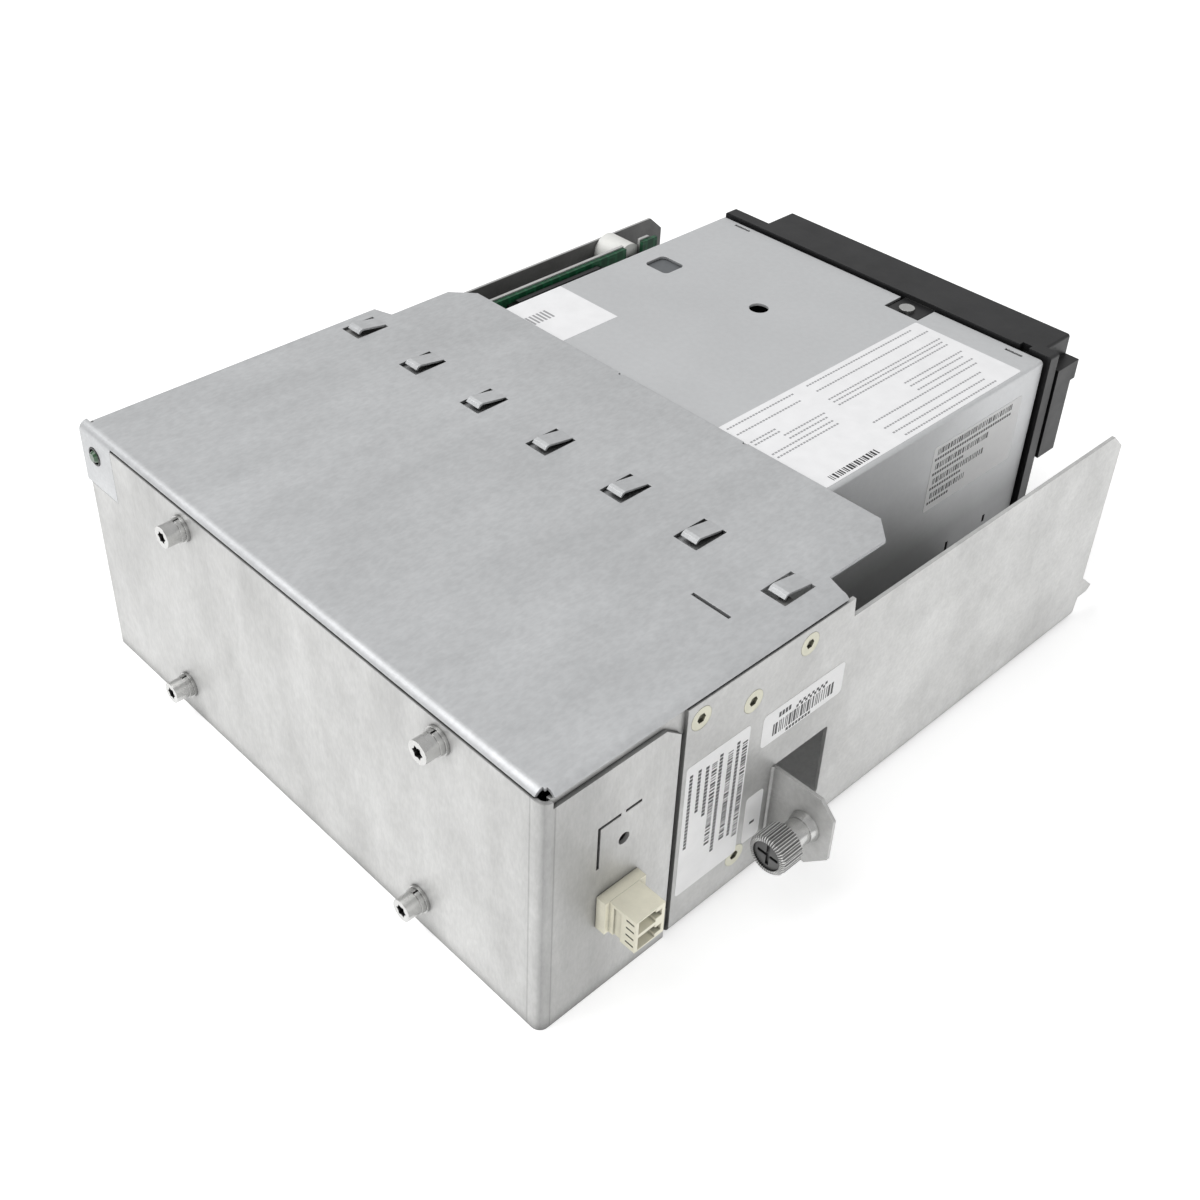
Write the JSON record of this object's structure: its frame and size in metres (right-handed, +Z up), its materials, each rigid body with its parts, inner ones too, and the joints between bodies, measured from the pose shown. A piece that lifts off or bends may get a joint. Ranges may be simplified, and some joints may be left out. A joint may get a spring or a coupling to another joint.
{
  "type": "data tape drive",
  "caption": "Full-height cartridge tape drive in a bent-sheet library sled, with a loader, reels, a captive knob screw and a fibre port.",
  "frame": {"origin": "middle of the tray's flat underside", "axes": "+X across the sled towards the side with the fibre port, +Y forward to the cartridge slot, +Z up"},
  "size_m": [0.2333, 0.2901, 0.0888],
  "materials": {
    "galvanised_sheet": "satin",
    "panel_sheet": "satin",
    "case_sheet": "satin",
    "cast_base": "matte",
    "machined_aluminium": "satin",
    "inner_steel": "satin",
    "zinc_screws": "satin",
    "yellow_screws": "satin",
    "black_bezel": "matte",
    "black_mechanism": "matte",
    "beige_adapter": "satin",
    "white_ceramic": "gloss",
    "green_lens": "gloss",
    "black_clip": "matte",
    "nylon": "satin",
    "board_green": "satin",
    "connector_plastic": "matte",
    "grey_button": "satin",
    "foot_rubber": "matte",
    "motor_can": "satin"
  },
  "bodies": {
    "root": {"tray": "galvanised_sheet", "screw_tab": "galvanised_sheet", "top_cover": "galvanised_sheet", "cover_brackets": "galvanised_sheet", "rear_panel": "panel_sheet", "rear_screws": "zinc_screws", "rear_washers": "zinc_screws", "side_screws": "yellow_screws", "supply_bracket": "inner_steel", "power_supply": "case_sheet", "supply_terminals": "connector_plastic", "fibre_port": "beige_adapter", "port_ferrules": "white_ceramic", "led_holder": "black_clip", "status_led": "green_lens", "screw_collar": "zinc_screws", "board_frame": "inner_steel", "interface_board": "board_green", "board_parts": "connector_plastic", "board_spacers": "nylon", "board_screws": "zinc_screws", "side_bracket": "galvanised_sheet", "drive_feet": "foot_rubber", "drive_screws": "zinc_screws", "drive_base": "cast_base", "drive_case": "case_sheet", "case_boss": "machined_aluminium", "bottom_plate": "case_sheet", "drive_board": "board_green", "drive_connector": "connector_plastic", "bezel": "black_bezel", "door_pin": "inner_steel", "front_lens": "green_lens", "front_board": "board_green", "bezel_screw": "zinc_screws", "loader_frame": "inner_steel", "roller_posts": "inner_steel", "head_base": "machined_aluminium", "threader_plate": "inner_steel", "supply_motor": "motor_can", "takeup_motor": "motor_can"},
    "screw_slide": {"screw_washer": "zinc_screws"},
    "knob": {"thumbscrew": "zinc_screws", "knob_sleeve": "zinc_screws"},
    "door": {"cartridge_door": "black_bezel"},
    "button": {"eject_button": "grey_button"},
    "slider": {"loader_slider": "inner_steel"},
    "carrier": {"cartridge_carrier": "inner_steel"},
    "chuck": {"supply_chuck": "black_mechanism"},
    "reel": {"takeup_reel": "machined_aluminium"},
    "roller_1": {"guide_roller_1": "machined_aluminium"},
    "roller_2": {"guide_roller_2": "machined_aluminium"},
    "roller_3": {"guide_roller_3": "machined_aluminium"},
    "roller_4": {"guide_roller_4": "machined_aluminium"},
    "head_carriage": {"head": "machined_aluminium"},
    "threader": {"threader_arm": "machined_aluminium"}
  },
  "joints": [
    {"name": "knob_push", "type": "slide", "parent": "root", "child": "screw_slide", "axis": [0, 1, 0], "range_m": [0, 0.006], "stiffness_N_per_m": 400},
    {"name": "knob_turn", "type": "hinge", "parent": "screw_slide", "child": "knob", "pos_m": [0.1191, -0.05, 0.0264], "axis": [0, 1, 0], "continuous": true},
    {"name": "door_swing", "type": "hinge", "parent": "root", "child": "door", "pos_m": [0.0032, 0.1335, 0.0819], "axis": [-1, 0, 0], "range_deg": [0, 88], "stiffness_Nm_per_rad": 0.004, "springref_deg": -22.92},
    {"name": "eject_press", "type": "slide", "parent": "root", "child": "button", "axis": [0, -1, 0], "range_m": [0, 0.0015], "stiffness_N_per_m": 500},
    {"name": "carrier_drop", "type": "slide", "parent": "root", "child": "carrier", "axis": [0, 0, -1], "range_m": [0, 0.008]},
    {"name": "slider_travel", "type": "slide", "parent": "root", "child": "slider", "axis": [0, 1, 0], "range_m": [0, 0.016]},
    {"name": "chuck_spin", "type": "hinge", "parent": "root", "child": "chuck", "pos_m": [0.0032, 0.075, 0.05], "axis": [0, 0, 1], "continuous": true},
    {"name": "reel_spin", "type": "hinge", "parent": "root", "child": "reel", "pos_m": [0.008, -0.024, 0.057], "axis": [0, 0, 1], "continuous": true},
    {"name": "roller_1_spin", "type": "hinge", "parent": "root", "child": "roller_1", "pos_m": [-0.0665, 0.027, 0.057], "axis": [0, 0, 1], "continuous": true},
    {"name": "roller_2_spin", "type": "hinge", "parent": "root", "child": "roller_2", "pos_m": [-0.0665, 0.012, 0.057], "axis": [0, 0, 1], "continuous": true},
    {"name": "roller_3_spin", "type": "hinge", "parent": "root", "child": "roller_3", "pos_m": [-0.0665, -0.032, 0.057], "axis": [0, 0, 1], "continuous": true},
    {"name": "roller_4_spin", "type": "hinge", "parent": "root", "child": "roller_4", "pos_m": [-0.05, -0.054, 0.057], "axis": [0, 0, 1], "continuous": true},
    {"name": "head_travel", "type": "slide", "parent": "root", "child": "head_carriage", "axis": [0, 0, 1], "range_m": [-0.003, 0.003]},
    {"name": "threader_swing", "type": "hinge", "parent": "root", "child": "threader", "pos_m": [-0.026, -0.01, 0.0725], "axis": [0, 0, 1], "range_deg": [0, 137.4]}
  ],
  "couplings": [
    {"joint": "slider_travel", "follows": "carrier_drop", "ratio": 2}
  ]
}
